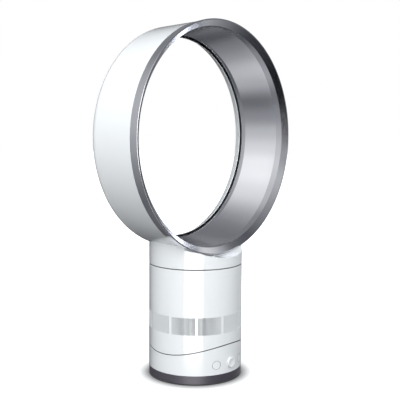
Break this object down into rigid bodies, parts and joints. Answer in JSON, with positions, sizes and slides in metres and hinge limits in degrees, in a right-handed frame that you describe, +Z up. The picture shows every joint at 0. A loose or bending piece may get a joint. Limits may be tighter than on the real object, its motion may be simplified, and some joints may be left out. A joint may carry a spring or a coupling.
{
  "type": "bladeless fan",
  "caption": "Bladeless table fan: a round body with a slotted air intake and hidden impeller swings and tilts on a weighted foot and blows through a large open loop.",
  "frame": {"origin": "on the floor under the centre of the round foot", "axes": "+Z up through the body and the loop; the air leaves the loop and the controls face towards -Y; +X is on the right of a person who stands behind the fan's front looking along +Y; the loop lies in the X-Z plane"},
  "size_m": [0.3543, 0.1486, 0.549],
  "materials": {
    "white_plastic": "satin moulded ABS",
    "silver_plastic": "silver metallic",
    "dark_plastic": "dark satin",
    "grey_plastic": "moulded ABS",
    "natural_plastic": "acetal or glass-filled nylon",
    "black_plastic": "matte",
    "rubber": "matte",
    "steel": "zinc plated",
    "circuit_board": "solder mask",
    "foam": "open-cell foam",
    "magnet": "sintered",
    "copper": "enamelled wire"
  },
  "bodies": {
    "floor_stand": {"foot_pad": "rubber", "foot_base": "dark_plastic", "power_inlet": "black_plastic", "swing_rack": "natural_plastic", "rack_screws": "steel", "glide_ring": "natural_plastic", "spindle_clip": "steel"},
    "control_base": {"turntable": "grey_plastic", "control_casing": "white_plastic", "casing_screws": "steel", "swing_motor": "steel", "motor_bracket_screws": "steel", "control_board": "circuit_board", "button_switches": "black_plastic", "dial_sensor": "grey_plastic", "cradle_cover": "grey_plastic", "tilt_hooks": "natural_plastic", "hook_screws": "steel"},
    "swing_drive": {"swing_pinion": "natural_plastic"},
    "power_key": {"power_button": "white_plastic"},
    "swing_key": {"swing_button": "white_plastic"},
    "speed_knob": {"speed_dial": "white_plastic"},
    "main_body": {"rocker_plate": "grey_plastic", "body_casing": "white_plastic", "lower_deck": "grey_plastic", "deck_screws": "steel", "motor_driver_board": "circuit_board", "silencer_foam": "foam", "impeller_housing": "grey_plastic", "rubber_mounts": "rubber", "mount_screws": "steel", "housing_seal": "rubber", "motor_stator": "steel", "stator_coils": "copper", "shaft_bearings": "steel", "motor_cup": "grey_plastic", "diffuser": "grey_plastic", "motor_screws": "steel", "locking_collar": "grey_plastic", "collar_screws": "steel"},
    "rotor": {"impeller": "natural_plastic", "impeller_shroud": "natural_plastic", "nose_cap": "natural_plastic", "motor_shaft": "steel", "motor_rotor": "magnet"},
    "loop": {"bayonet_ring": "grey_plastic", "bayonet_screws": "steel", "neck_seal": "rubber", "outer_loop_casing": "white_plastic", "inner_loop_casing": "silver_plastic"}
  },
  "joints": [
    {"name": "oscillate", "type": "hinge", "parent": "floor_stand", "child": "control_base", "pos_m": [0, 0, 0.015], "axis": [0, 0, 1], "range_deg": [-45, 45]},
    {"name": "tilt", "type": "hinge", "parent": "control_base", "child": "main_body", "pos_m": [0, 0, 0.2314], "axis": [1, 0, 0], "range_deg": [-10, 10]},
    {"name": "drive_pinion_spin", "type": "hinge", "parent": "control_base", "child": "swing_drive", "pos_m": [0, 0.042, 0.02], "axis": [0, 0, 1], "range_deg": [-140, 140]},
    {"name": "power_press", "type": "slide", "parent": "control_base", "child": "power_key", "axis": [0, 1, 0], "range_m": [0, 0.0015], "stiffness_N_per_m": 500, "springref_m": -0.001},
    {"name": "swing_press", "type": "slide", "parent": "control_base", "child": "swing_key", "axis": [0, 1, 0], "range_m": [0, 0.0015], "stiffness_N_per_m": 500, "springref_m": -0.001},
    {"name": "speed_turn", "type": "hinge", "parent": "control_base", "child": "speed_knob", "pos_m": [0, -0.07, 0.0294], "axis": [0, 1, 0], "range_deg": [-140, 140]},
    {"name": "impeller_spin", "type": "hinge", "parent": "main_body", "child": "rotor", "pos_m": [0, 0, 0.13], "axis": [0, 0, 1], "continuous": true},
    {"name": "loop_twist", "type": "hinge", "parent": "main_body", "child": "loop", "pos_m": [0, 0, 0.1762], "axis": [0, 0, 1], "range_deg": [-30, 0]}
  ],
  "couplings": [
    {"joint": "drive_pinion_spin", "follows": "oscillate", "ratio": 3}
  ]
}
